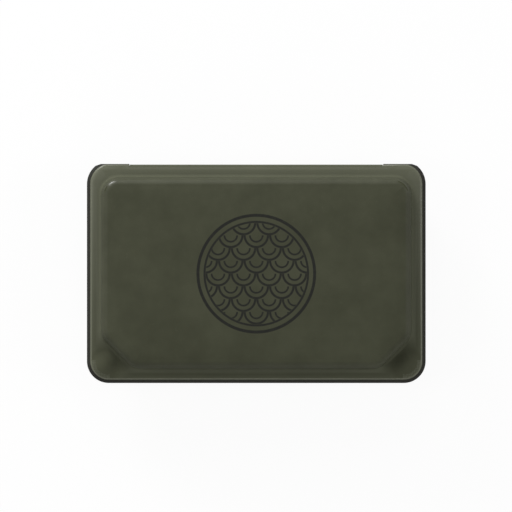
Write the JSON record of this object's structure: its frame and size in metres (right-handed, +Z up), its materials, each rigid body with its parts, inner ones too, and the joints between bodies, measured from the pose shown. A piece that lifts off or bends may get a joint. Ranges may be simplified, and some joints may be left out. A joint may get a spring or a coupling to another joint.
{
  "type": "fly box",
  "caption": "Pocket fly box: two moulded foam shells on a folding spine, with a wide trimmed rim, cut finger corners, corner magnets, and ridged slit foam inside.",
  "frame": {"origin": "middle of the base's underside, on the surface that the shut case lies on", "axes": "+X to the right along the case's width, +Y to the back, where the hinge is, +Z up through the lid"},
  "size_m": [0.15, 0.097, 0.036],
  "materials": {
    "skin": "matt olive coated fabric with a fine grain",
    "core": "black pressed closed-cell foam",
    "lining": "black brushed knit",
    "slit_foam": "light grey closed-cell foam",
    "magnet": "nickel plate"
  },
  "bodies": {
    "base": {"base_skin": "skin", "base_core": "core", "base_lining": "lining", "base_foam": "slit_foam", "base_magnet_left": "magnet", "base_magnet_right": "magnet", "base_crease": "skin"},
    "spine": {"spine_skin": "skin", "spine_lining": "lining"},
    "lid": {"lid_skin": "skin", "lid_core": "core", "lid_lining": "lining", "lid_foam": "slit_foam", "lid_magnet_left": "magnet", "lid_magnet_right": "magnet", "lid_crease": "skin"}
  },
  "joints": [
    {"name": "spine_fold", "type": "hinge", "parent": "base", "child": "spine", "pos_m": [0, 0.0472, 0.01605], "axis": [-1, 0, 0], "range_deg": [0, 90], "deforming": ["base_crease"]},
    {"name": "lid_fold", "type": "hinge", "parent": "spine", "child": "lid", "pos_m": [0, 0.0472, 0.01995], "axis": [-1, 0, 0], "range_deg": [0, 90], "deforming": ["lid_crease"]}
  ],
  "couplings": [
    {"joint": "lid_fold", "follows": "spine_fold", "ratio": 1}
  ]
}
